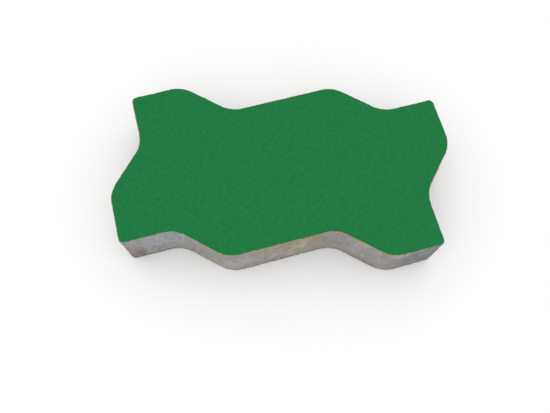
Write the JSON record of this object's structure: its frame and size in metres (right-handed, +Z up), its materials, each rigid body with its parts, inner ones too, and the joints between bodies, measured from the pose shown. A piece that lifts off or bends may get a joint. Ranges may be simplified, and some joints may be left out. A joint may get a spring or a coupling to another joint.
{
  "type": "interlocking paving stone",
  "caption": "Concrete paving stone with a wavy interlocking outline, a flat green wearing face and plain grey sides, laid on a bed and keyed to its neighbours.",
  "frame": {"origin": "centre of the bedding face", "axes": "+X along the stone's length, +Y across its width, +Z up from the bedding face to the green wearing face"},
  "size_m": [0.242, 0.1296, 0.045],
  "materials": {
    "concrete": "matt, cast"
  },
  "bodies": {
    "root": {"paving_stone": "concrete"}
  },
  "joints": []
}
